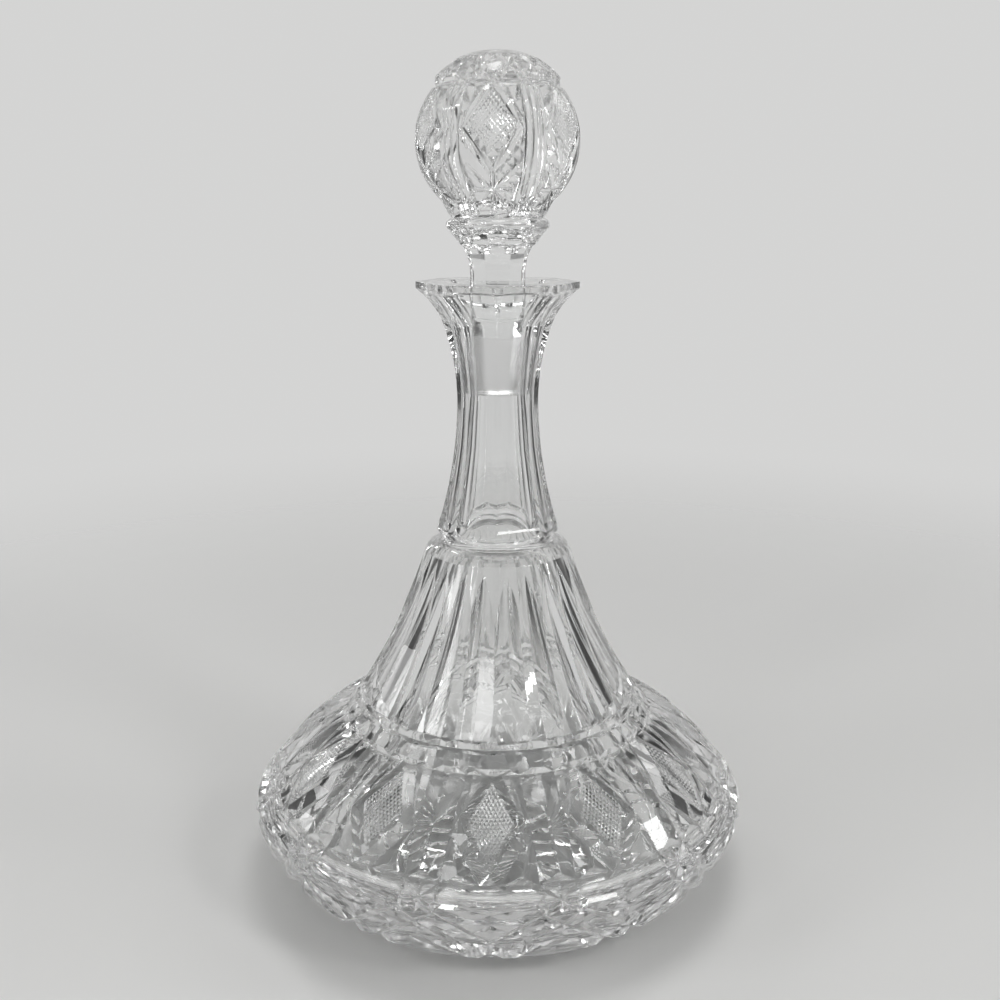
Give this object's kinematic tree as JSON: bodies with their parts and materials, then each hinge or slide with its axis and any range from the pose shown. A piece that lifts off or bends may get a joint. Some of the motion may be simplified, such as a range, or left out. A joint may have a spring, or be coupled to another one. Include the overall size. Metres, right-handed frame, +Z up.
{
  "type": "ships decanter",
  "caption": "Wide, low cut glass decanter with a tall panelled neck, fluted shoulder, diamond panels round the body and a loose ground stopper that lifts out.",
  "frame": {"origin": "centre of the standing ring, on the table", "axes": "+Z up along the axis of the bottle, -Y to the front of the picture"},
  "size_m": [0.1818, 0.1818, 0.291],
  "materials": {
    "crystal": "polished cut glass, ground on the peg and its seat"
  },
  "bodies": {
    "bottle": {"bottle": "crystal"},
    "stopper": {"stopper": "crystal"}
  },
  "joints": [
    {"name": "stopper_lift", "type": "slide", "parent": "bottle", "child": "stopper", "axis": [0, 0, 1], "range_m": [0, 0.045]}
  ]
}
